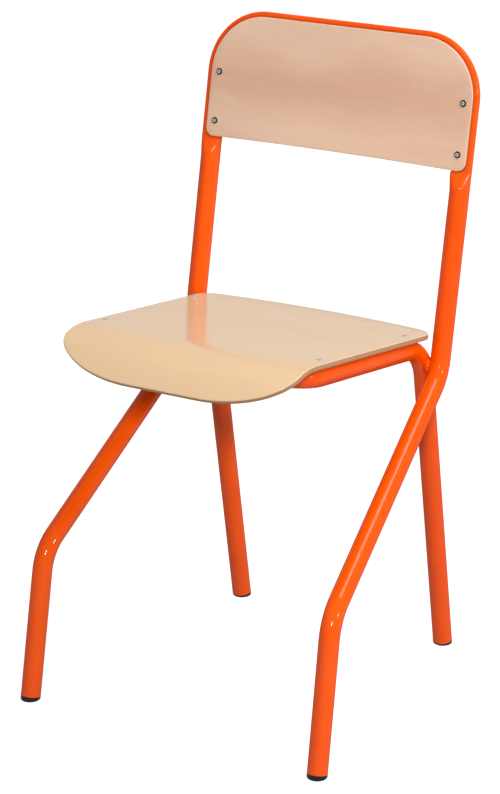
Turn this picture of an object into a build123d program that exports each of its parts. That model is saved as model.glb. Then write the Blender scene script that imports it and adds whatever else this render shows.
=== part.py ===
from build123d import *

import os
from math import cos, radians, sin, tan

# Fixed school chair of two bent steel tubes, a moulded plywood seat and a plywood backrest.
# Millimetres, +Z up, front towards -Y. Left and right are the sitter's, so left is +X.
# The origin is on the floor, midway between the feet.

# Tube
tube_diameter = 25.0
tube_wall = 1.5
weld_gap = 0.3

# Back hoop: front legs, sloping sides, uprights and top bar in one tube
front_foot_spacing = 413.0
front_foot_reach = 210.0
knee_spacing = 408.0
knee_reach = 176.0
knee_height = 189.0
knee_radius = 62.0
upright_spacing = 358.0
elbow_setback = 131.5
elbow_drop = 69.0
elbow_radius = 50.0
back_lean = 11.1
hoop_height = 803.5
hoop_corner_radius = 66.0

# Seat frame: rear legs, rails and front bar in one tube
rear_foot_reach = 210.0
rear_leg_lean = 10.2
rear_bend_radius = 55.0
front_bar_setback = 0.8
rail_toe_in = 4.7
front_bend_radius = 36.0

# Plywood seat
seat_thickness = 7.0
seat_height = 464.5
seat_tilt = 7.35
seat_side_gap = 1.0
seat_taper = 0.02
seat_rear_overhang = 27.0
seat_rear_bow_radius = 800.0
seat_rear_corner_radius = 30.0
seat_flat_reach = 149.0
seat_bend_radius = 69.0
seat_bend_angle = 51.0
seat_lip_length = 26.0
seat_corner_width = 115.0
seat_corner_depth = 58.0

# Plywood backrest, let into the pressed face of the hoop
backrest_thickness = 7.0
backrest_height = 157.5
backrest_proud = 7.0
backrest_rim = 5.6
backrest_lower_radius = 11.0
backrest_lower_rise = 2.0
recess_gap = 0.5
ramp_length = 19.0
press_depth = 6.9

# Blind rivets
rivet_diameter = 4.0
rivet_head_overhang = 2.3
rivet_head_height = 1.5
rivet_bulb_swell = 1.0
rivet_bulb_length = 4.5
rivet_bulb_clearance = 0.6
rivet_hole_clearance = 0.1
mandrel_diameter = 2.3
mandrel_clearance = 0.04
mandrel_head_overhang = 0.75
mandrel_head_length = 1.6
mandrel_break_depth = 1.2
seat_rivet_front_setback = 35.6
seat_rivet_rear_setback = 40.2
backrest_rivet_rise = 20.0
backrest_rivet_pitch = 62.5
backrest_rivet_inset = 5.0

# Feet
foot_cap_height = 5.2
foot_edge_radius = 1.8
foot_plug_length = 20.0
foot_plug_wall = 2.0
foot_rib_height = 2.5
foot_rib_depth = 1.2
foot_rib_count = 3
foot_fit_clearance = 0.1

# Welds between the hoop and the seat frame
weld_bead_radius = 5.0
weld_bead_length = 18.0
weld_end_radius = 4.5
weld_bead_offset = 7.0
weld_clearance = 0.05

os.makedirs("parts", exist_ok=True)

tube_radius = tube_diameter / 2
bore_radius = tube_radius - tube_wall
sides = {"left": 1, "right": -1}


def finish(piece, label):
    piece.label = label
    export_step(piece, f"parts/{label}.step")


# Directions of the seat and of the back
tilt = radians(seat_tilt)
lean = radians(back_lean)
seat_up = Vector(0, sin(tilt), cos(tilt))
seat_forward = Vector(0, -cos(tilt), sin(tilt))
back_up = Vector(0, sin(lean), cos(lean))
back_forward = Vector(0, -cos(lean), sin(lean))
across = Vector(1, 0, 0)

# Key points of the hoop's left half, on the tube's centreline
elbow_height = seat_height - elbow_drop
front_foot = Vector(front_foot_spacing / 2, -front_foot_reach, 0)
knee = Vector(knee_spacing / 2, -knee_reach, knee_height)
elbow = Vector(upright_spacing / 2, elbow_setback, elbow_height)
upright_length = (hoop_height - tube_radius - elbow_height) / cos(lean)
hoop_corner = elbow + back_up * upright_length
front_leg_axis = (knee - front_foot).normalized()
front_tube_end = front_foot + front_leg_axis * foot_cap_height

# Key points of the seat frame's left half: the rails lie under the flat of the seat
rear_leg_slope = tan(radians(rear_leg_lean))
rail_height = seat_height - (seat_thickness + tube_radius) / cos(tilt)
rail_rear_width = upright_spacing - 2 * (tube_diameter + weld_gap)
front_bar_width = rail_rear_width - 2 * rail_toe_in
front_bar_reach = (seat_flat_reach - front_bar_setback) * cos(tilt)
rear_bend_y = (rear_foot_reach - rear_leg_slope * rail_height) / (1 - rear_leg_slope * tan(tilt))
rear_foot = Vector(rail_rear_width / 2, rear_foot_reach, 0)
rear_bend = Vector(rail_rear_width / 2, rear_bend_y, rail_height - rear_bend_y * tan(tilt))
front_bend = Vector(front_bar_width / 2, -front_bar_reach, rail_height + front_bar_reach * tan(tilt))
rear_leg_axis = (rear_bend - rear_foot).normalized()
rear_tube_end = rear_foot + rear_leg_axis * foot_cap_height


def both_sides(half):
    return half + [Vector(-point.X, point.Y, point.Z) for point in reversed(half)]


with BuildLine() as hoop_path:
    FilletPolyline(
        both_sides([front_tube_end, knee, elbow, hoop_corner]),
        radius=[knee_radius, elbow_radius, hoop_corner_radius]
        + [hoop_corner_radius, elbow_radius, knee_radius],
    )

with BuildLine() as frame_path:
    FilletPolyline(
        both_sides([rear_tube_end, rear_bend, front_bend]),
        radius=[rear_bend_radius, front_bend_radius, front_bend_radius, rear_bend_radius],
    )


def tube_along(path, radius):
    with BuildPart() as tube:
        with BuildSketch(Plane(origin=path.line @ 0, z_dir=path.line % 0)):
            Circle(radius)
        sweep(path=path.line)
    return tube.part


# The back's own plane runs through the uprights' centrelines, with its origin between the elbows
back_plane = Plane(origin=(0, elbow_setback, elbow_height), x_dir=across, z_dir=back_forward)
back_side = Plane(origin=back_plane.origin, x_dir=back_up, z_dir=across)
backrest_half_width = upright_spacing / 2 + tube_radius - backrest_rim
backrest_top = upright_length + tube_radius - backrest_rim
backrest_bottom = backrest_top - backrest_height
backrest_upper_radius = hoop_corner_radius + tube_radius - backrest_rim
recess_floor = backrest_proud - backrest_thickness


def backrest_outline(plane, margin):
    half = backrest_half_width + margin
    top = backrest_top + margin
    bottom = backrest_bottom - margin
    with BuildSketch(plane) as outline:
        with BuildLine():
            Polyline((-half, bottom), (-half, top), (half, top), (half, bottom))
            ThreePointArc((half, bottom), (0, bottom + backrest_lower_rise), (-half, bottom))
        make_face()
        fillet(outline.vertices().group_by(Axis.Y)[-1], radius=backrest_upper_radius + margin)
        fillet(outline.vertices().group_by(Axis.Y)[0], radius=backrest_lower_radius + margin)
    return outline.sketch


def pressed_space(margin, floor):
    # What the press tool takes from the front of the hoop: a flat right across the tube with a ramp up
    # to it from below, and in the flat a recess of the backrest's outline
    reach = tube_diameter
    ramp_top = backrest_bottom - recess_gap
    flat_height = tube_radius - press_depth + floor - recess_floor
    with BuildPart() as space:
        extrude(backrest_outline(back_plane.offset(floor), margin), amount=reach)
        with BuildSketch(back_side):
            with BuildLine():
                Polyline(
                    (ramp_top, flat_height),
                    (ramp_top - reach * ramp_length / press_depth, flat_height + reach),
                    (upright_length + reach, flat_height + reach),
                    (upright_length + reach, flat_height),
                    close=True,
                )
            make_face()
        extrude(amount=upright_spacing / 2 + tube_diameter, both=True)
    return space.part


# Where the rivets stand: on the front of the backrest and on the flat of the seat
def backrest_rivet_plane(side, row):
    x = side * (upright_spacing / 2 - backrest_rivet_inset)
    height = backrest_bottom + backrest_rivet_rise + row * backrest_rivet_pitch
    origin = back_plane.origin + across * x + back_up * height + back_forward * backrest_proud
    return Plane(origin=origin, x_dir=across, z_dir=back_forward)


def seat_rivet_plane(side, y):
    along = (y + front_bar_reach) / (rear_bend_y + front_bar_reach)
    x = side * (front_bar_width + along * (rail_rear_width - front_bar_width)) / 2
    return Plane(origin=(x, y, seat_height - y * tan(tilt)), x_dir=across, z_dir=seat_up)


seat_rivet_planes = {}
backrest_rivet_planes = {}
for side_name, side in sides.items():
    seat_rivet_planes[f"front_{side_name}"] = seat_rivet_plane(side, seat_rivet_front_setback - front_bar_reach)
    seat_rivet_planes[f"rear_{side_name}"] = seat_rivet_plane(side, rear_bend_y - seat_rivet_rear_setback)
    backrest_rivet_planes[f"lower_{side_name}"] = backrest_rivet_plane(side, 0)
    backrest_rivet_planes[f"upper_{side_name}"] = backrest_rivet_plane(side, 1)
rivet_hole_radius = rivet_diameter / 2 + rivet_hole_clearance
backrest_grip = backrest_thickness + tube_wall
seat_grip = seat_thickness + tube_wall

# Back hoop: a tube pressed flat behind the backrest, and drilled for its rivets
with BuildPart() as hoop_bore:
    add(tube_along(hoop_path, bore_radius))
    add(pressed_space(recess_gap + tube_wall, recess_floor - tube_wall), mode=Mode.SUBTRACT)

with BuildPart() as back_hoop:
    add(tube_along(hoop_path, tube_radius))
    add(pressed_space(recess_gap, recess_floor), mode=Mode.SUBTRACT)
    add(hoop_bore.part, mode=Mode.SUBTRACT)
    with BuildSketch(*backrest_rivet_planes.values()):
        Circle(rivet_hole_radius)
    extrude(amount=-(backrest_grip + tube_wall), mode=Mode.SUBTRACT)
finish(back_hoop.part, "back_hoop")

# Seat frame: a tube drilled in the tops of its rails
with BuildPart() as seat_frame:
    add(tube_along(frame_path, tube_radius))
    add(tube_along(frame_path, bore_radius), mode=Mode.SUBTRACT)
    with BuildSketch(*seat_rivet_planes.values()):
        Circle(rivet_hole_radius)
    extrude(amount=-(seat_thickness + tube_radius), mode=Mode.SUBTRACT)
finish(seat_frame.part, "seat_frame")

# Seat: the side profile carried across, then trimmed to the plan and to the front corners
seat_side = Plane(origin=(0, 0, seat_height), x_dir=seat_forward, z_dir=-across)
seat_reach = seat_flat_reach + seat_bend_radius + seat_lip_length
seat_rear_reach = elbow_setback + seat_rear_overhang
seat_middle_width = upright_spacing - tube_diameter - 2 * seat_side_gap
lip_slope = radians(seat_bend_angle) - tilt
lip_back = Vector(0, cos(lip_slope), sin(lip_slope))
lip_up = Vector(0, -sin(lip_slope), cos(lip_slope))
bend = radians(seat_bend_angle)
lip_end = (
    Vector(0, 0, seat_height)
    + seat_forward * (seat_flat_reach + seat_bend_radius * sin(bend) + seat_lip_length * cos(bend))
    - seat_up * (seat_bend_radius * (1 - cos(bend)) + seat_lip_length * sin(bend))
)
lip_plane = Plane(origin=lip_end, x_dir=across, z_dir=lip_up)


def seat_half_width(y):
    return seat_middle_width / 2 + seat_taper * y


with BuildPart() as seat_panel:
    with BuildSketch(seat_side):
        with BuildLine():
            flat = Line((-seat_reach, 0), (seat_flat_reach, 0))
            front_curve = JernArc(flat @ 1, flat % 1, radius=seat_bend_radius, arc_size=-seat_bend_angle)
            Line(front_curve @ 1, front_curve @ 1 + front_curve % 1 * seat_lip_length)
            offset(amount=seat_thickness, side=Side.RIGHT)
        make_face()
    extrude(amount=seat_middle_width, both=True)
    with BuildSketch() as plan:
        rear_half = seat_half_width(seat_rear_reach)
        front_half = seat_half_width(-seat_reach)
        rear_bow = rear_half**2 / (2 * seat_rear_bow_radius)
        with BuildLine():
            Polyline(
                (rear_half, seat_rear_reach - rear_bow),
                (front_half, -seat_reach),
                (-front_half, -seat_reach),
                (-rear_half, seat_rear_reach - rear_bow),
            )
            ThreePointArc(
                (-rear_half, seat_rear_reach - rear_bow),
                (0, seat_rear_reach),
                (rear_half, seat_rear_reach - rear_bow),
            )
        make_face()
        fillet(plan.vertices().group_by(Axis.Y)[-1], radius=seat_rear_corner_radius)
    extrude(amount=2 * seat_height, mode=Mode.INTERSECT)
    # Each front corner is a quarter of an ellipse, square to the lip. corner_pull places a Bezier
    # curve's middle points so that it follows the ellipse.
    corner_y = lip_end.Y + seat_corner_depth * cos(lip_slope)
    corner_half = seat_half_width(corner_y)
    corner_pull = 0.5523
    corner_slant = seat_taper * cos(lip_slope)
    for side in sides.values():
        with BuildSketch(lip_plane):
            with BuildLine():
                inner = (side * (corner_half - seat_corner_width), 0)
                outer = (side * corner_half, seat_corner_depth)
                Bezier(
                    inner,
                    (inner[0] + side * corner_pull * seat_corner_width, 0),
                    (
                        outer[0] - side * corner_pull * corner_slant * seat_corner_depth,
                        (1 - corner_pull) * seat_corner_depth,
                    ),
                    outer,
                )
                Polyline(
                    outer,
                    (side * seat_middle_width, seat_corner_depth),
                    (side * seat_middle_width, -seat_corner_depth),
                    (inner[0], -seat_corner_depth),
                    inner,
                )
            make_face()
        extrude(amount=seat_corner_depth, both=True, mode=Mode.SUBTRACT)
    with BuildSketch(*seat_rivet_planes.values()):
        Circle(rivet_hole_radius)
    extrude(amount=-2 * seat_thickness, mode=Mode.SUBTRACT)
finish(seat_panel.part, "seat_panel")

# Backrest
with BuildPart() as backrest_panel:
    extrude(backrest_outline(back_plane.offset(recess_floor), 0), amount=backrest_thickness)
    with BuildSketch(*backrest_rivet_planes.values()):
        Circle(rivet_hole_radius)
    extrude(amount=-2 * backrest_thickness, mode=Mode.SUBTRACT)
finish(backrest_panel.part, "backrest_panel")


# Rivets: a domed head on the plywood, a shank through the tube's wall and a bulb inside the tube
def blind_rivet(plane, grip, label):
    bore = mandrel_diameter / 2 + mandrel_clearance
    shank = rivet_diameter / 2
    bulb = shank + rivet_bulb_swell
    head = shank + rivet_head_overhang
    bulb_top = -(grip + rivet_bulb_clearance)
    bulb_end = bulb_top - rivet_bulb_length
    with BuildPart() as rivet:
        with BuildSketch(Plane(origin=plane.origin, x_dir=plane.x_dir, z_dir=-plane.y_dir)):
            with BuildLine():
                Polyline(
                    (bore, rivet_head_height),
                    (bore, bulb_end),
                    (bulb, bulb_end),
                    (bulb, bulb_top),
                    (shank, bulb_top),
                    (shank, 0),
                    (head, 0),
                )
                TangentArc((bore, rivet_head_height), (head, 0), tangent=(1, 0))
            make_face()
        revolve(axis=Axis(plane.origin, plane.z_dir))
    finish(rivet.part, f"{label}_rivet")
    with BuildPart() as mandrel:
        with BuildSketch(plane.offset(-mandrel_break_depth)):
            Circle(mandrel_diameter / 2)
        extrude(amount=bulb_end + mandrel_break_depth)
        with BuildSketch(plane.offset(bulb_end)):
            Circle(mandrel_diameter / 2 + mandrel_head_overhang)
        extrude(amount=-mandrel_head_length)
    finish(mandrel.part, f"{label}_rivet_mandrel")


for position, plane in seat_rivet_planes.items():
    blind_rivet(plane, seat_grip, f"{position}_seat")
for position, plane in backrest_rivet_planes.items():
    blind_rivet(plane, backrest_grip, f"{position}_backrest")


# Feet: a cap that carries on the tube down to the floor, with a ribbed plug inside it
def foot(tube_end, leg_axis, label):
    end = Plane(origin=tube_end, z_dir=leg_axis)
    rib_radius = bore_radius - foot_fit_clearance
    core_radius = rib_radius - foot_rib_depth
    rib_pitch = foot_plug_length / foot_rib_count
    with BuildPart() as plug:
        with BuildSketch(end):
            Circle(tube_radius)
        extrude(amount=-2 * foot_cap_height)
        split(bisect_by=Plane.XY, keep=Keep.TOP)
        fillet(plug.edges().group_by(Axis.Z)[0], radius=foot_edge_radius)
        with BuildSketch(end):
            Circle(core_radius)
        extrude(amount=foot_plug_length)
        for rib in range(foot_rib_count):
            with BuildSketch(end.offset(rib * rib_pitch + rib_pitch - foot_rib_height)):
                Circle(rib_radius)
            extrude(amount=foot_rib_height)
        with BuildSketch(end):
            Circle(core_radius - foot_plug_wall)
        extrude(amount=foot_plug_length, mode=Mode.SUBTRACT)
    finish(plug.part, label)


def mirrored(point, side):
    return Vector(side * point.X, point.Y, point.Z)


for side_name, side in sides.items():
    foot(mirrored(front_tube_end, side), mirrored(front_leg_axis, side), f"front_{side_name}_foot")
    foot(mirrored(rear_tube_end, side), mirrored(rear_leg_axis, side), f"rear_{side_name}_foot")

# Welds: a bead in the front and in the rear groove where the two tubes pass side by side
_, hoop_touch, frame_touch = hoop_path.line.distance_to_with_closest_points(frame_path.line)
touch = (hoop_touch + frame_touch) / 2
tubes_with_clearance = [
    tube_along(hoop_path, tube_radius + weld_clearance),
    tube_along(frame_path, tube_radius + weld_clearance),
]
for side_name, side in sides.items():
    for groove_name, groove in {"front": -1, "rear": 1}.items():
        centre = Vector(side * abs(touch.X), touch.Y + groove * weld_bead_offset, touch.Z)
        with BuildPart() as weld:
            with Locations(centre):
                Cylinder(weld_bead_radius, weld_bead_length)
            fillet(weld.edges().filter_by(GeomType.CIRCLE), radius=weld_end_radius)
            for tube in tubes_with_clearance:
                add(tube, mode=Mode.SUBTRACT)
        finish(weld.part, f"{groove_name}_{side_name}_weld")
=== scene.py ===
import bpy
import numpy as np
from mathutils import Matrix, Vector


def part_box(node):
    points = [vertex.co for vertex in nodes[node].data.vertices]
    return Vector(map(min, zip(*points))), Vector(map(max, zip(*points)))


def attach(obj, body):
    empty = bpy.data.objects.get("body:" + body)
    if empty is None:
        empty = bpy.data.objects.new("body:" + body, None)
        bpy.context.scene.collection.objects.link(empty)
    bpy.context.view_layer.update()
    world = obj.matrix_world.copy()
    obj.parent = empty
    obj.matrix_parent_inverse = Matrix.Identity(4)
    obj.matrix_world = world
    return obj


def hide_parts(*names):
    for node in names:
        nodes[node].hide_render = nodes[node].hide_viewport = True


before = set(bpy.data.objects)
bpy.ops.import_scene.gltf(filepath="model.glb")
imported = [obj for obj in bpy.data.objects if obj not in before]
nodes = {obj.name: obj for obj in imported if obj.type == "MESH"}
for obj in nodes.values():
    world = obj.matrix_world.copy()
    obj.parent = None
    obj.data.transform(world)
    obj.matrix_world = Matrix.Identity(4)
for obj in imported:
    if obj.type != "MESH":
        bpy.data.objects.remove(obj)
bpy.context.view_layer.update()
scene = bpy.context.scene
scene.view_settings.view_transform = "Standard"
mm = 0.001
print("frame loaded:", len(nodes), "pieces")


# small vector helpers, on whole arrays

def unit(v):
    return v / np.linalg.norm(v, axis=-1, keepdims=True)


def ease(t):  # 0 to 1 with level ends
    t = np.clip(t, 0, 1)
    return t * t * (3 - 2 * t)


def vec(*xyz):
    return np.array(xyz, float)


# mesh helpers

def gridQuads(rows, cols, closedRows=False):
    # four-cornered faces between each row of points and the next, closed round the columns
    i = np.arange(rows if closedRows else rows - 1)[:, None]
    j = np.arange(cols)[None, :]
    nextRow = (i + 1) % rows
    nextCol = (j + 1) % cols
    return np.stack([i * cols + j, i * cols + nextCol, nextRow * cols + nextCol, nextRow * cols + j],
                    -1).reshape(-1, 4)


def capFans(rows, cols, pole):
    # triangles from a pole to the first row of points, and from the next pole to the last row
    j = np.arange(cols)
    k = (j + 1) % cols
    last = (rows - 1) * cols
    return np.concatenate([np.stack([np.full(cols, pole), k, j], 1),
                           np.stack([np.full(cols, pole + 1), last + j, last + k], 1)])


def enclosed(points, faces):
    # six times the volume inside the faces, negative when they point inwards
    first = points[faces[:, 0]]
    return sum(np.sum(first * np.cross(points[faces[:, k]], points[faces[:, k + 1]]))
               for k in range(1, faces.shape[1] - 1))


def addPiece(name, points, faceSets, material, node, sharp=40):
    # points in millimetres; the faces are turned outwards, and edges past the sharp angle stay crisp
    if sum(enclosed(points, faces) for faces in faceSets) < 0:
        faceSets = [faces[:, ::-1] for faces in faceSets]
    mesh = bpy.data.meshes.new(name)
    mesh.from_pydata((points * mm).tolist(), [], [f for faces in faceSets for f in faces.tolist()])
    mesh.shade_smooth()
    mesh.set_sharp_from_angle(angle=np.radians(sharp))
    mesh.materials.append(material)
    piece = bpy.data.objects.new(name, mesh)
    scene.collection.objects.link(piece)
    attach(piece, "root")
    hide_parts(node)
    return piece


def keepOnPoints(piece, name, kind, field, values):  # an attribute for the piece's material to read
    kept = piece.data.attributes.new(name, kind, "POINT")
    kept.data.foreach_set(field, values.astype(np.float32).ravel())


def nameFor(start, node):
    return start + "".join(word.capitalize() for word in node.split("_"))


# shader helpers

def feed(tree, node, inputs):
    # each input linked where its value is another node's socket, and given the value otherwise
    for key, value in inputs.items():
        if isinstance(value, bpy.types.NodeSocket):
            tree.links.new(value, node.inputs[key])
        else:
            node.inputs[key].default_value = value


def put(tree, kind, inputs=None, **settings):
    node = tree.nodes.new(kind)
    for key, value in settings.items():
        setattr(node, key, value)
    feed(tree, node, inputs or {})
    return node


def startMaterial(name):
    material = bpy.data.materials.new(name)
    material.use_nodes = True
    tree = material.node_tree
    return material, tree, tree.nodes["Principled BSDF"]


def startGroup(name, ins, outs):
    group = bpy.data.node_groups.new(name, "ShaderNodeTree")
    for way, sockets in (("INPUT", ins), ("OUTPUT", outs)):
        for socket, kind in sockets.items():
            group.interface.new_socket(name=socket, in_out=way, socket_type="NodeSocket" + kind)
    return group, group.nodes.new("NodeGroupInput").outputs, group.nodes.new("NodeGroupOutput")


def maths(tree, operation, *values, clamp=False):
    return put(tree, "ShaderNodeMath", dict(enumerate(values)), operation=operation,
               use_clamp=clamp).outputs[0]


def vectors(tree, operation, *values):
    return put(tree, "ShaderNodeVectorMath", dict(enumerate(values)), operation=operation).outputs["Vector"]


def axis(tree, vector, letter):
    return put(tree, "ShaderNodeSeparateXYZ", {"Vector": vector}).outputs[letter]


def stretched(tree, place, scale):
    return put(tree, "ShaderNodeMapping", {"Vector": place, "Scale": scale}).outputs["Vector"]


def noise(tree, place, scale, detail, roughness=0.5, distortion=0.0):
    return put(tree, "ShaderNodeTexNoise", {"Vector": place, "Scale": scale, "Detail": detail,
                                            "Roughness": roughness, "Distortion": distortion}).outputs


def scaled(tree, value, low, high, fromLow=0.0, fromHigh=1.0):
    return put(tree, "ShaderNodeMapRange", {"Value": value, "From Min": fromLow, "From Max": fromHigh,
                                            "To Min": low, "To Max": high}).outputs["Result"]


def mixed(tree, factor, a, b):  # colours
    return put(tree, "ShaderNodeMix", {0: factor, 6: a, 7: b}, data_type="RGBA").outputs[2]


def between(tree, factor, a, b):  # plain values
    return put(tree, "ShaderNodeMix", {0: factor, 2: a, 3: b}, data_type="FLOAT").outputs[0]


def bumped(tree, height, strength, distance):
    return put(tree, "ShaderNodeBump", {"Height": height, "Strength": strength,
                                        "Distance": distance}).outputs["Normal"]


# broad patches and fine grit, for paint, plastic and metal alike
skinLook = dict(patchNoise=(3.0, 0.55), patchSpan=(0.3, 0.7), gritNoise=(2.0, 0.5), gritSpan=(0.25, 0.75))


def unevenSurface():
    group, given, result = startGroup("unevenSurface",
                                      {"Vector": "Vector", "Patch scale": "Float", "Grit scale": "Float"},
                                      {"Patch": "Float", "Grit": "Float"})
    patch = noise(group, given["Vector"], given["Patch scale"], *skinLook["patchNoise"])["Fac"]
    grit = noise(group, given["Vector"], given["Grit scale"], *skinLook["gritNoise"])["Fac"]
    feed(group, result, {"Patch": scaled(group, patch, 0, 1, *skinLook["patchSpan"]),
                         "Grit": scaled(group, grit, 0, 1, *skinLook["gritSpan"])})
    return group


uneven = unevenSurface()


def skinOf(tree, patchScale, gritScale):
    place = put(tree, "ShaderNodeTexCoord").outputs["Object"]
    scales = {"Patch scale": patchScale, "Grit scale": gritScale}
    return put(tree, "ShaderNodeGroup", {"Vector": place, **scales}, node_tree=uneven).outputs


# plain plastic and metal, on two tones
gritHeight = 0.2 * mm


def plainFinish(name, finish):
    material, tree, surface = startMaterial(name)
    skin = skinOf(tree, finish["patch"], finish["grit"])
    colour = mixed(tree, skin["Patch"], finish["dark"], finish["light"])
    if "grime" in finish:  # painted shade and a painted dark reflection: the colour darkens where the piece's own mask says
        mask = put(tree, "ShaderNodeAttribute", attribute_name="grime").outputs["Fac"]
        colour = mixed(tree, mask, colour, finish["grime"])
    feed(tree, surface, {"Base Color": colour, "Roughness": scaled(tree, skin["Grit"], *finish["rough"]),
                         "Metallic": finish["metal"], "Specular IOR Level": finish["shine"],
                         "Normal": bumped(tree, skin["Grit"], finish["depth"], gritHeight)})
    return material


# orange powder coat: an even colour and a faint orange-peel skin under a clear gloss that fades edge on
orangeCoat = dict(deep=(0.86, 0.078, 0.0003, 1), full=(0.92, 0.097, 0.0005, 1), patchScale=9.0,
                  rough=(0.3, 0.4), sheen=0.0, peelScale=330.0, peelDepth=0.03, peelHeight=0.4 * mm,
                  gloss=(1.0, 0.08), glossTurn=(0.3, 0.75), glossRough=0.06, glossIor=1.24)


def orangePaint():
    material, tree, surface = startMaterial("orangePaint")
    skin = skinOf(tree, orangeCoat["patchScale"], orangeCoat["peelScale"])
    facing = put(tree, "ShaderNodeLayerWeight").outputs["Facing"]  # 0 square on, 1 edge on
    feed(tree, surface, {
        "Base Color": mixed(tree, skin["Patch"], orangeCoat["deep"], orangeCoat["full"]),
        "Roughness": scaled(tree, skin["Patch"], *orangeCoat["rough"]),
        "Specular IOR Level": orangeCoat["sheen"],
        "Normal": bumped(tree, skin["Grit"], orangeCoat["peelDepth"], orangeCoat["peelHeight"]),
        "Coat Weight": scaled(tree, facing, *orangeCoat["gloss"], *orangeCoat["glossTurn"]),
        "Coat Roughness": orangeCoat["glossRough"],
        "Coat IOR": orangeCoat["glossIor"]})
    return material


# beech veneer on the sheet's own coordinates: x along the grain, y across it, z below zero under the face
veneerLook = dict(driftScale=4.5, driftDetail=1.0, sway=(0.0, 0.13, 0.0),
                  streakScale=(3.2, 22.0, 60.0), streakNoise=(4.0, 0.55, 0.5), streakSpan=(0.27, 0.73),
                  lineScale=(28.0, 420.0, 420.0), lineNoise=(4.0, 0.6), lineSpan=(0.3, 0.7), lineShare=0.1,
                  bandFade=(0.2, 1.3), fleckScale=(330.0, 1500.0, 1500.0), fleckSpan=(0.05, 0.3),
                  fleckShare=0.3, plies=5, plyWobble=0.018, plyBlend=0.35, cutStart=(-0.06, -0.11),
                  cutEnd=(-0.95, -0.89), cutRough=0.6, poreHeight=0.3 * mm)


def beechVeneer(look):
    group, given, result = startGroup(
        "beechVeneer",
        {"Sheet": "Vector", "Thickness": "Float", "Pale": "Color", "Deep": "Color", "Fleck": "Color",
         "Cut": "Color", "Core": "Color", "Band": "Float", "Band width": "Float", "Band share": "Float"},
        {"Color": "Color", "Edge": "Float", "Height": "Float", "Rough": "Float"})
    sheet = given["Sheet"]
    # wide streaks and thin lines: noise drawn out along the grain, bent by a slower noise
    drift = noise(group, sheet, look["driftScale"], look["driftDetail"])["Color"]
    offset = vectors(group, "SUBTRACT", drift, (0.5, 0.5, 0.5))  # about the noise's middle
    bent = vectors(group, "ADD", sheet, vectors(group, "MULTIPLY", offset, look["sway"]))
    streak = noise(group, stretched(group, bent, look["streakScale"]), 1.0, *look["streakNoise"])["Fac"]
    line = noise(group, stretched(group, bent, look["lineScale"]), 1.0, *look["lineNoise"])["Fac"]
    broad = scaled(group, streak, 0, 1, *look["streakSpan"])
    thin = scaled(group, line, -look["lineShare"], look["lineShare"], *look["lineSpan"])
    # one broad deeper band along the grain: 1 at its middle, fading to 0 just past its width
    away = maths(group, "ABSOLUTE", maths(group, "SUBTRACT", axis(group, bent, "Y"), given["Band"]))
    band = scaled(group, maths(group, "DIVIDE", away, given["Band width"]), 1, 0, *look["bandFade"])
    figure = maths(group, "ADD", between(group, given["Band share"], broad, band), thin, clamp=True)
    face = mixed(group, figure, given["Pale"], given["Deep"])
    # short dark ray flecks along the grain
    cells = put(group, "ShaderNodeTexVoronoi", {"Vector": stretched(group, sheet, look["fleckScale"]),
                                                "Scale": 1.0}).outputs["Distance"]
    fleck = scaled(group, cells, look["fleckShare"], 0, *look["fleckSpan"])
    face = mixed(group, fleck, face, given["Fleck"])
    # veneers seen on the cut edge: the depth counted in plies, each second one darker end grain
    share = maths(group, "DIVIDE", axis(group, sheet, "Z"), given["Thickness"])
    wobble = scaled(group, line, -look["plyWobble"], look["plyWobble"])
    wave = maths(group, "MULTIPLY", maths(group, "ADD", share, wobble), look["plies"] * np.pi)
    ply = scaled(group, maths(group, "SINE", wave), 0, 1, -look["plyBlend"], look["plyBlend"])
    layers = mixed(group, ply, given["Cut"], given["Core"])
    edge = maths(group, "MULTIPLY", scaled(group, share, 0, 1, *look["cutStart"]),
                 scaled(group, share, 0, 1, *look["cutEnd"]), clamp=True)
    feed(group, result, {"Color": mixed(group, edge, face, layers), "Edge": edge, "Height": line,
                         "Rough": broad})
    return group


beech = beechVeneer(veneerLook)


def plywood(name, panel):
    material, tree, surface = startMaterial(name)
    sheet = put(tree, "ShaderNodeAttribute", attribute_name="sheet").outputs["Vector"]
    veneer = put(tree, "ShaderNodeGroup", {
        "Sheet": sheet, "Thickness": panel["thick"] * mm, "Pale": panel["pale"], "Deep": panel["deep"],
        "Fleck": panel["fleck"], "Cut": panel["cut"], "Core": panel["core"], "Band": panel["band"] * mm,
        "Band width": panel["bandWidth"] * mm, "Band share": panel["bandShare"]}, node_tree=beech).outputs
    sanded = scaled(tree, veneer["Rough"], *panel["rough"])
    feed(tree, surface, {
        "Base Color": veneer["Color"],
        "Roughness": between(tree, veneer["Edge"], sanded, veneerLook["cutRough"]),
        "Specular IOR Level": panel["shine"],
        "Normal": bumped(tree, veneer["Height"], panel["pore"], veneerLook["poreHeight"])})
    return material


paint = orangePaint()
print("finishes ready")


# tubes
tube = dict(radius=12.5, wall=1.5, around=96, bendStep=np.radians(2.5), longStep=45.0)


def tubeRuns(corners, radii):
    # straight runs joined by tangent arcs: an arc begins radius * tan(turn / 2) before its corner
    runs, start = [], corners[0]
    for i, radius in enumerate(radii):
        a = unit(corners[i + 1] - corners[i])
        b = unit(corners[i + 2] - corners[i + 1])
        turn = np.arccos(np.dot(a, b))
        cut = radius * np.tan(turn / 2)
        begin = corners[i + 1] - a * cut
        runs.append((start, a, np.linalg.norm(begin - start), None, None))
        runs.append((begin, a, radius * turn, radius, unit(b - a * np.dot(a, b))))
        start = corners[i + 1] + b * cut
    last = corners[-1] - start
    runs.append((start, unit(last), np.linalg.norm(last), None, None))
    return runs


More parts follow.
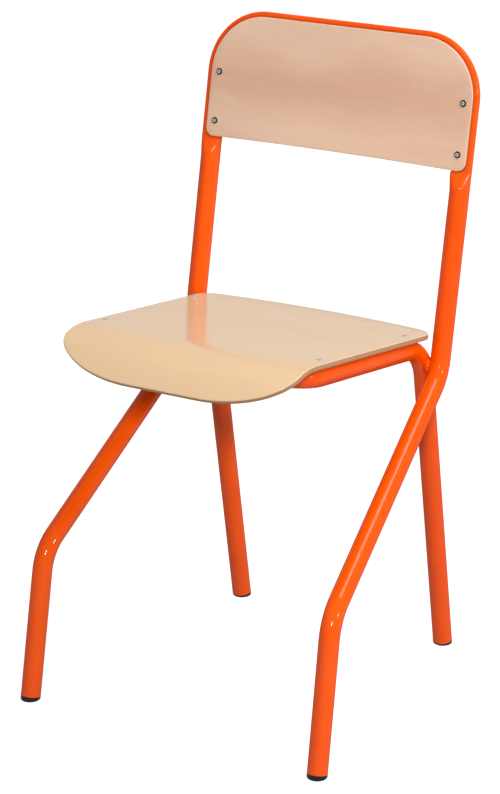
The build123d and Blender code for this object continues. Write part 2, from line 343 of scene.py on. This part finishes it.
def walkRuns(runs, extra=None):
    # points and directions along the runs, closer together on the arcs and where extra adds stations
    points, ways = [], []
    for start, way, length, radius, inward in runs:
        spacing = radius * tube["bendStep"] if radius else tube["longStep"]
        s = np.linspace(0, length, max(2, int(np.ceil(length / spacing))), endpoint=False)
        if radius:
            angle = (s / radius)[:, None]
            points.append(start + radius * (way * np.sin(angle) + inward * (1 - np.cos(angle))))
            ways.append(way * np.cos(angle) + inward * np.sin(angle))
            continue
        if extra:
            s = np.unique(np.concatenate([s, extra(start, way, length)]))
        points.append(start + way * s[:, None])
        ways.append(np.repeat(way[None], len(s), 0))
    start, way, length = runs[-1][:3]
    points.append((start + way * length)[None])
    ways.append(way[None])
    return np.concatenate(points), np.concatenate(ways)


def around(points, side, front, out, high):
    # the path's points, set off sideways by out and to the front by high
    return points[:, None] + side[:, None] * out[..., None] + front[:, None] * high[..., None]


def tubeWall(points, ways, toward, angles, press=None):
    # a circle carried along the path, outside and then back inside, as one closed wall;
    # out = radius * sin(angle), high = radius * cos(angle) to the front, and press reshapes both
    side = unit(np.cross(ways, toward))
    front = np.cross(side, ways)
    skins = []
    for inset in (0.0, tube["wall"]):
        out = np.broadcast_to((tube["radius"] - inset) * np.sin(angles), (len(points), len(angles)))
        high = np.broadcast_to((tube["radius"] - inset) * np.cos(angles), out.shape)
        if press:
            out, high = press(points, side, front, out, high, inset)
        skins.append(around(points, side, front, out, high))
    rows = np.concatenate([skins[0], skins[1][::-1]])
    return rows.reshape(-1, 3), [gridQuads(len(rows), len(angles), closedRows=True)]


# the panels' sizes come first, because the tubes follow them
seat = dict(thick=7.0, height=464.5, tilt=7.35, halfWidth=165.5, taper=0.02, rear=158.5, bow=800.0,
            rearRound=30.0, flat=149.0, bendRadius=69.0, bend=51.0, soften=20.0, lip=26.0, cornerWidth=115.0,
            cornerDepth=58.0, edgeRound=1.6, centre=30.0, steps=420, rings=64,
            pale=(0.715, 0.497, 0.3, 1), deep=(0.66, 0.455, 0.272, 1), fleck=(0.5, 0.32, 0.19, 1),
            cut=(0.5, 0.29, 0.16, 1), core=(0.38, 0.2, 0.105, 1), rough=(0.13, 0.19), shine=0.2, pore=0.02,
            band=0.0, bandWidth=60.0, bandShare=0.25)
back = dict(thick=7.0, tall=157.5, proud=7.0, rim=5.6, lowRound=11.0, lowRise=2.0, gap=1.4, edgeRound=1.1,
            steps=360, rings=24,
            pale=(0.81, 0.556, 0.405, 1), deep=(0.66, 0.39, 0.258, 1), fleck=(0.5, 0.29, 0.18, 1),
            cut=(0.6, 0.36, 0.21, 1), core=(0.46, 0.25, 0.14, 1), rough=(0.26, 0.34), shine=0.4, pore=0.03,
            band=338.0, bandWidth=42.0, bandShare=0.5)
hoop = dict(footX=206.5, footY=-210.0, kneeX=204.0, kneeY=-176.0, kneeZ=189.0, kneeRadius=62.0, sideX=179.0,
            elbowY=131.5, elbowDrop=69.0, elbowRadius=50.0, lean=11.1, top=803.5, cornerRadius=66.0, cap=5.2)
# the hoop's front behind the backrest: pressed to a flat up a ramp, with a recess for the panel
pressing = dict(depth=6.9, rampLength=19.0, blend=27.0, swell=1.55, spread=(1.3, 0.9), shoulder=3.0, lip=0.9,
                wallRise=22.0, wallWidth=1.5, wallStart=0.2, rampStep=1.5, cornerStep=0.5, cornerBelow=3.0,
                cornerAbove=2.0, coarseTurn=5.0, innerTurn=2.5, wallTurn=1.0, innerFrom=-70.0, wallSpan=10.0,
                lastTurn=178.0)

tilt, lean = np.radians(seat["tilt"]), np.radians(hoop["lean"])
bend = np.radians(seat["bend"])
seatUp, seatForward = vec(0, np.sin(tilt), np.cos(tilt)), vec(0, -np.cos(tilt), np.sin(tilt))
backUp, backForward = vec(0, np.sin(lean), np.cos(lean)), vec(0, -np.cos(lean), np.sin(lean))
sideways = vec(1, 0, 0)
elbowZ = seat["height"] - hoop["elbowDrop"]
backOrigin = vec(0, hoop["elbowY"], elbowZ)
uprightLength = (hoop["top"] - tube["radius"] - elbowZ) / np.cos(lean)
panelOut = tube["radius"] - back["rim"]  # from the tube's middle to the panel's edge
panelTop = uprightLength + panelOut
panelLow = panelTop - back["tall"]
panelHalf = hoop["sideX"] + panelOut


def bothSides(half):
    # the corners of one side, and their mirror images on the way back
    return half + [p * vec(-1, 1, 1) for p in half[::-1]]


def hoopCorners():
    # up the leg to the knee, back under the seat to the elbow, up the leaning back to the upper corner
    foot = vec(hoop["footX"], hoop["footY"], 0)
    knee = vec(hoop["kneeX"], hoop["kneeY"], hoop["kneeZ"])
    elbow = vec(hoop["sideX"], hoop["elbowY"], elbowZ)
    return bothSides([foot + unit(knee - foot) * hoop["cap"], knee, elbow, elbow + backUp * uprightLength])


def lesser(a, b, soft):
    # the lower of two heights, with the crease between them rounded
    return 0.5 * (a + b - np.sqrt((a - b) ** 2 + soft ** 2))


def pressedFront(points, side, front, out, high, inset):
    # behind the backrest the round section swells at its front corners and narrows behind them, by
    # swell * sin(2 * angle), and spreads sideways, more on its inner side; its front is lowered to a flat,
    # by a share that grows up a ramp, and inside the backrest's outline to the floor of a recess
    angle = np.arctan2(out, high)
    pressed = ease(((points - backOrigin) @ backUp - panelLow + pressing["blend"]) / pressing["blend"])
    spread = np.where(angle < 0, *pressing["spread"]) * np.abs(np.sin(angle))
    swell = pressed[:, None] * (pressing["swell"] * np.sin(2 * np.abs(angle)) + spread)
    out, high = out + swell * np.sin(angle), high + swell * np.cos(angle)
    place = around(points, side, front, out, high)
    height = (place - backOrigin) @ backUp
    below = np.maximum(panelLow - back["gap"] - height, 0)
    ramp = np.clip(1 - below / pressing["rampLength"], 0, 1)
    flat = tube["radius"] - pressing["depth"] - inset
    high = high + ramp * (lesser(high, flat, pressing["shoulder"]) - high)
    # distance outside the panel's outline, rounded at its lower corners
    acrossBy = np.abs(place[..., 0]) - (panelHalf - back["lowRound"])
    downBy = panelLow + back["lowRound"] - height
    inCorner = (acrossBy > 0) & (downBy > 0)
    corner = np.where(inCorner, np.hypot(acrossBy, downBy), np.maximum(acrossBy, downBy)) - back["lowRound"]
    beyond = np.maximum(out - panelOut, corner) - back["gap"] + inset
    rise = pressing["wallRise"] * ease((beyond + pressing["wallStart"]) / pressing["wallWidth"])
    return out, lesser(high, back["proud"] - back["thick"] - inset + rise, pressing["lip"])


def rampStations(start, way, length):
    # extra stations on an upright where it passes the ramp and the panel's lower corner
    climb = np.dot(way, backUp)
    if not np.isclose(abs(climb), 1):
        return np.zeros(0)
    cornerLow = panelLow - pressing["cornerBelow"]
    cornerHigh = panelLow + back["lowRound"] + pressing["cornerAbove"]
    marks = np.concatenate([np.arange(panelLow - pressing["blend"], cornerLow, pressing["rampStep"]),
                            np.arange(cornerLow, cornerHigh, pressing["cornerStep"])])
    s = (marks - (start - backOrigin) @ backUp) / climb
    return s[(s > 0) & (s < length)]


def buildHoop():
    # the tube carried along its bent path, with its front pressed behind the backrest
    half = [hoop["kneeRadius"], hoop["elbowRadius"], hoop["cornerRadius"]]
    points, ways = walkRuns(tubeRuns(hoopCorners(), half + half[::-1]), rampStations)
    # stations round the tube crowd at the wall of the recess
    wallAt = np.degrees(np.arcsin((panelOut + back["gap"]) / tube["radius"]))
    wallFrom, wallTo = wallAt - pressing["wallSpan"], wallAt + pressing["wallSpan"]
    angles = np.radians(np.concatenate([np.arange(-180, pressing["innerFrom"], pressing["coarseTurn"]),
                                        np.arange(pressing["innerFrom"], wallFrom, pressing["innerTurn"]),
                                        np.arange(wallFrom, wallTo, pressing["wallTurn"]),
                                        np.arange(wallTo, pressing["lastTurn"], pressing["coarseTurn"])]))
    wall, faces = tubeWall(points, ways, backForward, angles, pressedFront)
    addPiece("backHoop", wall, faces, paint, "back_hoop")


frameTube = dict(footY=210.0, lean=10.2, rearRadius=55.0, weldGap=0.3, toeIn=4.7, barSetback=0.8,
                 barRadius=36.0)


def frameCorners():
    # up the leaning rear leg to where it meets the rail's line, then forward along the tilt to the front bar
    slope = np.tan(np.radians(frameTube["lean"]))
    railZ = seat["height"] - (seat["thick"] + tube["radius"]) / np.cos(tilt)
    rearX = hoop["sideX"] - 2 * tube["radius"] - frameTube["weldGap"]
    rearY = (frameTube["footY"] - slope * railZ) / (1 - slope * np.tan(tilt))
    barY = -(seat["flat"] - frameTube["barSetback"]) * np.cos(tilt)
    foot = vec(rearX, frameTube["footY"], 0)
    rear = vec(rearX, rearY, railZ - rearY * np.tan(tilt))
    front = vec(rearX - frameTube["toeIn"], barY, railZ - barY * np.tan(tilt))
    return bothSides([foot + unit(rear - foot) * hoop["cap"], rear, front])


def buildSeatFrame():
    # the plain round tube carried along its bent path
    half = [frameTube["rearRadius"], frameTube["barRadius"]]
    points, ways = walkRuns(tubeRuns(frameCorners(), half + half[::-1]))
    angles = np.linspace(-np.pi, np.pi, tube["around"], endpoint=False)
    askew = unit(vec(1, 1, 1))  # a direction that no run follows
    wall, faces = tubeWall(points, ways, askew, angles)
    addPiece("seatFrame", wall, faces, paint, "seat_frame")


buildHoop()
buildSeatFrame()
print("tubes bent")


# plywood panels
panelSteps = dict(corner=60, rearCorner=24, rearEdge=40, rearFit=4, upper=40, lower=16, arch=40, along=2000,
                  edgeTurn=6, edgeWall=5)


def evenly(loop, count):
    # the same closed outline with its points at equal steps along it
    closed = np.concatenate([loop, loop[:1]])
    along = np.concatenate([[0], np.cumsum(np.linalg.norm(np.diff(closed, axis=0), axis=1))])
    s = np.linspace(0, along[-1], count, endpoint=False)
    return np.stack([np.interp(s, along, closed[:, k]) for k in (0, 1)], 1)


def panelSheet(outline, centre, thick, edgeRound, rings):
    # rows of the outline: grown from the centre over the face, turned round the edge, shrunk back underneath
    step = np.roll(outline, -1, 0) - np.roll(outline, 1, 0)
    outward = unit(np.stack([step[:, 1], -step[:, 0]], 1))
    if np.sum(outward * (outline - centre)) < 0:
        outward = -outward
    a = np.linspace(0, np.pi / 2, panelSteps["edgeTurn"])
    inset = edgeRound * np.concatenate([1 - np.sin(a), np.zeros(panelSteps["edgeWall"]), 1 - np.cos(a)])
    wall = np.linspace(edgeRound, thick - edgeRound, panelSteps["edgeWall"] + 2)[1:-1]
    depth = np.concatenate([edgeRound * (1 - np.cos(a)), wall, thick - edgeRound * (1 - np.sin(a))])
    rim = outline[None] - inset[:, None, None] * outward[None]
    grow = np.linspace(0, 1, rings + 1)[1:-1][:, None, None]
    top = centre + (rim[0] - centre)[None] * grow
    under = centre + (rim[-1] - centre)[None] * grow[::-1]
    flat = np.concatenate([top, rim, under])
    deep = np.concatenate([np.zeros(len(top)), depth, np.full(len(under), thick)])
    deep = np.broadcast_to(-deep[:, None, None], flat.shape[:2] + (1,))
    sheet = np.concatenate([flat, deep], -1).reshape(-1, 3)
    poles = np.array([[*centre, 0.0], [*centre, -thick]])
    faces = [gridQuads(len(flat), len(outline)), capFans(len(flat), len(outline), len(sheet))]
    return np.concatenate([sheet, poles]), faces


def seatHalf(y):  # half the seat's width, which grows a little to the rear
    return seat["halfWidth"] + seat["taper"] * y


def seatFrontCorner():
    # a quarter-round curve in line with the lip's edge and with the side; its distances back from the edge,
    # along the lip's plane, are turned into distances along the bent face
    lipSlope = bend - tilt
    forward = seat["flat"] + seat["bendRadius"] * np.sin(bend) + seat["lip"] * np.cos(bend)
    fall = seat["bendRadius"] * (1 - np.cos(bend)) + seat["lip"] * np.sin(bend)
    lipY = -(np.cos(tilt) * forward + np.sin(tilt) * fall)
    x = seatHalf(lipY + seat["cornerDepth"] * np.cos(lipSlope))
    wide, deep = seat["cornerWidth"], seat["cornerDepth"]
    pull = 0.5523  # of a curve that looks like a quarter circle
    knots = [vec(x - wide, 0), vec(x - (1 - pull) * wide, 0),
             vec(x - pull * seat["taper"] * np.cos(lipSlope) * deep, (1 - pull) * deep), vec(x, deep)]
    t = np.linspace(0, 1, panelSteps["corner"])[:, None]
    weights = [(1 - t) ** 3, 3 * t * (1 - t) ** 2, 3 * t ** 2 * (1 - t), t ** 3]
    across, up = sum(w * k for w, k in zip(weights, knots)).T
    onBend = np.arcsin(np.clip((up - seat["lip"]) / seat["bendRadius"], 0, 1)) * seat["bendRadius"]
    front = seat["flat"] + seat["bendRadius"] * bend + seat["lip"]
    return np.stack([across, front - np.where(up < seat["lip"], up, seat["lip"] + onBend)], 1)


def seatRear():
    # a corner circle inside both the side and the bowed rear edge, and the bow from there to the middle
    sag = seatHalf(seat["rear"]) ** 2 / (2 * seat["bow"])
    bow = (seatHalf(seat["rear"]) ** 2 + sag ** 2) / (2 * sag)
    bowY = seat["rear"] - bow
    cy = seat["rear"] - sag - seat["rearRound"]
    for _ in range(panelSteps["rearFit"]):  # each pass brings the circle's centre closer
        cx = seatHalf(cy) - seat["rearRound"]
        cy = bowY + np.sqrt((bow - seat["rearRound"]) ** 2 - cx ** 2)
    end = np.arctan2(cy - bowY, cx)
    turn = np.linspace(0, end, panelSteps["rearCorner"])
    sweep = np.linspace(end, np.pi / 2, panelSteps["rearEdge"])[1:]
    across = np.concatenate([cx + seat["rearRound"] * np.cos(turn), bow * np.cos(sweep)])
    behind = np.concatenate([cy + seat["rearRound"] * np.sin(turn), bowY + bow * np.sin(sweep)])
    return np.stack([across, -behind / np.cos(tilt)], 1)


def seatOutline():
    # plan of the seat as if unrolled: across, and forward along the face from the middle
    half = np.concatenate([seatFrontCorner(), seatRear()])
    return np.concatenate([half, (half * vec(-1, 1))[::-1][1:]])


def seatTurn(v):
    # how far the face has turned down: the bend's even turn, averaged over a stretch to start gently
    arc = seat["bendRadius"] * bend

    def total(s):
        onBend = np.clip(s - seat["flat"], 0, arc)
        return onBend ** 2 / (2 * seat["bendRadius"]) + bend * np.maximum(s - seat["flat"] - arc, 0)

    return (total(v + seat["soften"]) - total(v - seat["soften"])) / (2 * seat["soften"])


def seatPlace(sheet):
    # flat, then down round the bend: the way along the face and its drop are the running sums of the cosine
    # and sine of its turn, and the depth goes along the face's own normal
    x, v, z = sheet[:, :1], sheet[:, 1:2], sheet[:, 2:]
    s = np.linspace(v.min(), v.max(), panelSteps["along"])
    middles = seatTurn((s[1:] + s[:-1]) / 2)
    along = s[0] + np.concatenate([[0], np.cumsum(np.cos(middles) * np.diff(s))])
    drop = np.concatenate([[0], np.cumsum(np.sin(middles) * np.diff(s))])
    face = vec(0, 0, seat["height"]) + seatForward * np.interp(v, s, along) - seatUp * np.interp(v, s, drop)
    turn = seatTurn(v)
    return face + (seatUp * np.cos(turn) + seatForward * np.sin(turn)) * z + sideways * x


def backOutline():
    # a rounded rectangle with a slightly arched lower edge: across, and up the back from the elbows
    upper, low = hoop["cornerRadius"] + panelOut, back["lowRound"]
    reach = panelHalf - low
    quarter = np.linspace(0, np.pi / 2, panelSteps["upper"])
    top = np.stack([panelHalf - upper + upper * np.cos(quarter),
                    panelTop - upper + upper * np.sin(quarter)], 1)
    under = np.linspace(-np.pi / 2, 0, panelSteps["lower"])
    foot = np.stack([reach + low * np.cos(under), panelLow + low + low * np.sin(under)], 1)
    across = np.linspace(0, reach, panelSteps["arch"], endpoint=False)
    arch = np.stack([across, panelLow + back["lowRise"] * (1 - (across / reach) ** 2)], 1)
    half = np.concatenate([arch, foot, top])
    return np.concatenate([half, (half * vec(-1, 1))[::-1][:-1]])


def backPlace(sheet):
    # across and up the plane of the leaning back, with the face standing proud of the tube's middle
    return (backOrigin + sideways * sheet[:, :1] + backUp * sheet[:, 1:2]
            + backForward * (back["proud"] + sheet[:, 2:]))


def buildPanel(name, panel, outline, place, centre, node):
    sheet, faces = panelSheet(evenly(outline, panel["steps"]), centre, panel["thick"], panel["edgeRound"],
                              panel["rings"])
    ply = plywood(name + "Ply", panel)
    piece = addPiece(name, place(sheet), faces, ply, node, sharp=60)
    keepOnPoints(piece, "sheet", "FLOAT_VECTOR", "vector", sheet * mm)


buildPanel("seatPanel", seat, seatOutline(), seatPlace, vec(0, seat["centre"]), "seat_panel")
buildPanel("backrestPanel", back, backOutline(), backPlace, vec(0, (panelTop + panelLow) / 2),
           "backrest_panel")
print("panels pressed")


# welds: a bead laid down the groove in overlapping drops
bead = dict(radius=4.4, drops=5, swell=0.05, lean=1.05, blunt=3.2, rows=60, around=28)


def buildWeld(node):
    # radius = bead * rounded ends * (1 + swell * one wave per drop), each wave leaning along the groove
    low, high = (np.array(p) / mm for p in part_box(node))
    middle, tall = (low + high) / 2, high[2] - low[2]
    s = np.linspace(-1, 1, bead["rows"])[:, None]
    a = np.linspace(0, 2 * np.pi, bead["around"], endpoint=False)[None]
    wave = np.sin(np.pi * bead["drops"] * s + bead["lean"] * np.cos(a))
    ends = np.sqrt(np.maximum(1 - np.abs(s) ** bead["blunt"], 0))
    r = bead["radius"] * ends * (1 + bead["swell"] * wave)
    rows = np.stack([middle[0] + r * np.cos(a), middle[1] + r * np.sin(a),
                     np.broadcast_to(middle[2] + s * tall / 2, r.shape)], -1)[1:-1]
    poles = middle + vec(0, 0, tall / 2) * np.array([[-1], [1]])
    points = np.concatenate([rows.reshape(-1, 3), poles])
    faces = [gridQuads(len(rows), bead["around"]), capFans(len(rows), bead["around"], len(points) - 2)]
    addPiece(nameFor("bead", node), points, faces, paint, node, sharp=80)


for node in sorted(n for n in nodes if n.endswith("_weld")):
    buildWeld(node)
print("welds laid")


# blind rivets: a domed head turned round its axis, over a shank and the bulb that grips inside the tube; the
# head's steep rim and its bore get painted shade
rivet = dict(bore=1.19, head=4.3, height=1.5, brim=0.3, mouth=0.25, domePower=2.2, shank=2.0, bulb=3.0,
             bulbLength=4.5, bulbFull=0.7, grimeRing=(2.1, 2.5), backGrime=1.0, seatGrime=0.35,
             domeSteps=16, around=40)
# the darkest colour here is painted shade and a painted dark reflection, for each rivet head's steep rim and
# its bore
rivetMetal = dict(dark=(0.56, 0.55, 0.54, 1), light=(0.7, 0.69, 0.68, 1), grime=(0.03, 0.02, 0.018, 1),
                  patch=300.0, grit=2500.0, rough=(0.3, 0.42), depth=0.1, metal=0.35, shine=0.1)


def rivetProfile(tail):
    # radius and height from the face below the head: up the bore, over the dome, which falls from its mouth
    # to its brim by share ** power of its height, and down the shank to the bulb
    share = np.linspace(0, 1, rivet["domeSteps"])
    lip = rivet["bore"] + rivet["mouth"]
    fall = (rivet["height"] - rivet["brim"]) * share ** rivet["domePower"]
    dome = np.stack([lip + (rivet["head"] - lip) * share, rivet["height"] - fall], 1)
    bore = [(rivet["bore"], tail), (rivet["bore"], rivet["height"] - rivet["mouth"])]
    shank = [(rivet["head"], 0), (rivet["shank"], 0), (rivet["shank"], tail + rivet["bulbLength"]),
             (rivet["bulb"], tail + rivet["bulbFull"] * rivet["bulbLength"]), (rivet["bulb"], tail)]
    return np.concatenate([bore, dome, shank])


def buildRivet(node, axle, shadeStrength, material):
    # the profile turned round its axle, through the middle and at the height of the CAD rivet
    corners = np.empty(3 * len(nodes[node].data.vertices))
    nodes[node].data.vertices.foreach_get("co", corners)
    corners = corners.reshape(-1, 3) / mm
    first, second = sideways, np.cross(axle, sideways)
    middle = sum((np.min(corners @ w) + np.max(corners @ w)) / 2 * w for w in (first, second))
    face = np.max(corners @ axle) - rivet["height"]
    profile = rivetProfile(np.min(corners @ axle) - face)
    turn = np.linspace(0, 2 * np.pi, rivet["around"], endpoint=False)[:, None, None]
    spoke = first * np.cos(turn) + second * np.sin(turn)
    points = middle + axle * (face + profile[None, :, 1:]) + spoke * profile[None, :, :1]
    faces = [gridQuads(len(points), len(profile), closedRows=True)]
    name = nameFor("turned", node)
    piece = addPiece(name, points.reshape(-1, 3), faces, material, node, sharp=50)
    # painted shade: the mask darkens the head's steep outer rim, standing for its dark reflection and
    # contact shade, and the whole bore, standing for the shade inside it
    inner, outer = rivet["grimeRing"]
    ring = shadeStrength * ease((profile[:, 0] - inner) / (outer - inner))
    mask = np.where(profile[:, 0] <= rivet["bore"], 1, ring)
    keepOnPoints(piece, "grime", "FLOAT", "value", np.tile(mask, len(points)))


rivetFinish = plainFinish("rivetMetal", rivetMetal)
for node in sorted(n for n in nodes if n.endswith("_rivet")):
    if "backrest" in node:
        buildRivet(node, backForward, rivet["backGrime"], rivetFinish)
    else:
        buildRivet(node, seatUp, rivet["seatGrime"], rivetFinish)
print("rivets set")


# pieces whose shape is right keep it and take a finish
footPlastic = dict(dark=(0.006, 0.005, 0.005, 1), light=(0.014, 0.012, 0.012, 1), patch=60.0, grit=1600.0,
                   rough=(0.38, 0.55), depth=0.35, metal=0.0, shine=0.15)
# the stems are real steel, but their near-black colour is partly painted shade, standing for the shade down
# each rivet's bore
stemMetal = dict(dark=(0.05, 0.048, 0.046, 1), light=(0.12, 0.115, 0.11, 1), patch=400.0, grit=3000.0,
                 rough=(0.45, 0.7), depth=0.5, metal=1.0, shine=0.3)


def dress(ending, material):
    for name in (n for n in nodes if n.endswith(ending)):
        for held in nodes[name].material_slots:
            held.material = material


dress("_foot", plainFinish("footPlastic", footPlastic))
dress("_mandrel", plainFinish("stemMetal", stemMetal))
print("feet and stems finished")


# stage
studio = dict(ambient=0.26, backdrop=0.74, floorShow=0.88, floorTint=(0.38, 0.38, 0.38, 1),
              floorBounce=(0.3, 0.3, 0.3, 1), floorHalf=60.0, aim=(0.0, 0.0, 0.45))
# lamps by their bearing from straight ahead and their height, in degrees; the first two are small for glints
lamps = [dict(name="frontLamp", turn=30.0, rise=24.0, far=4.0, size=0.52, power=81.0),
         dict(name="sideLamp", turn=82.0, rise=18.0, far=4.0, size=0.43, power=49.0),
         dict(name="overhead", turn=96.0, rise=66.0, far=2.46, size=1.0, power=39.0),
         dict(name="leftFill", turn=-115.0, rise=10.0, far=4.0, size=2.0, power=15.0),
         dict(name="rearFill", turn=175.0, rise=10.0, far=4.0, size=2.0, power=15.0)]
view = dict(at=(1.6581, -2.7480, 1.4845), target=(-0.00557, -0.01285, 0.37658), lens=125.27, sensor=36.0,
            clipEnd=100.0)


def backgroundRays(tree):
    # 1 where the camera, a reflection or a clear surface looks at the background
    rays = put(tree, "ShaderNodeLightPath").outputs
    either = maths(tree, "MAXIMUM", rays["Is Camera Ray"], rays["Is Glossy Ray"])
    return maths(tree, "MAXIMUM", either, rays["Is Transmission Ray"])


def diffuse(tree, colour):
    return put(tree, "ShaderNodeBsdfDiffuse", {"Color": colour}).outputs[0]


def floorFinish():
    material, tree, surface = startMaterial("paleFloor")
    tree.nodes.remove(surface)
    glow = put(tree, "ShaderNodeEmission", {"Strength": studio["floorShow"]}).outputs[0]
    seen = put(tree, "ShaderNodeAddShader", {0: glow, 1: diffuse(tree, studio["floorTint"])}).outputs[0]
    bounce = diffuse(tree, studio["floorBounce"])
    shown = put(tree, "ShaderNodeMixShader", {0: backgroundRays(tree), 1: bounce, 2: seen}).outputs[0]
    underneath = put(tree, "ShaderNodeNewGeometry").outputs["Backfacing"]
    clear = put(tree, "ShaderNodeBsdfTransparent").outputs[0]
    whole = put(tree, "ShaderNodeMixShader", {0: underneath, 1: shown, 2: clear}).outputs[0]
    feed(tree, tree.nodes["Material Output"], {"Surface": whole})
    return material


def buildFloor():
    mesh = bpy.data.meshes.new("floor")
    half = studio["floorHalf"]
    mesh.from_pydata([(-half, -half, 0), (half, -half, 0), (half, half, 0), (-half, half, 0)], [],
                     [(0, 1, 2, 3)])
    mesh.materials.append(floorFinish())
    floor = bpy.data.objects.new("floor", mesh)
    scene.collection.objects.link(floor)


def buildWorld():
    world = bpy.data.worlds.new("softRoom")
    scene.world = world
    world.use_nodes = True
    tree = world.node_tree
    level = scaled(tree, backgroundRays(tree), studio["ambient"], studio["backdrop"])
    feed(tree, tree.nodes["Background"], {"Color": (1, 1, 1, 1), "Strength": level})


def stand(name, data, place, target):
    # a lamp or camera at a place, facing its target
    held = bpy.data.objects.new(name, data)
    held.location = place
    held.rotation_euler = (Vector(target) - Vector(place)).to_track_quat("-Z", "Y").to_euler()
    scene.collection.objects.link(held)
    return held


def buildLamps():
    for lamp in lamps:
        light = bpy.data.lights.new(lamp["name"], "AREA")
        light.size = lamp["size"]
        light.energy = lamp["power"]
        turn, rise = np.radians([lamp["turn"], lamp["rise"]])
        way = Vector((np.sin(turn) * np.cos(rise), -np.cos(turn) * np.cos(rise), np.sin(rise)))
        stand(lamp["name"], light, Vector(studio["aim"]) + way * lamp["far"], studio["aim"])


def buildCamera():
    lens = bpy.data.cameras.new("photoView")
    lens.lens = view["lens"]
    lens.sensor_fit = "VERTICAL"
    lens.sensor_width = lens.sensor_height = view["sensor"]
    lens.clip_end = view["clipEnd"]
    scene.camera = stand("photoView", lens, view["at"], view["target"])


buildFloor()
buildWorld()
buildLamps()
buildCamera()
print("stage lit")
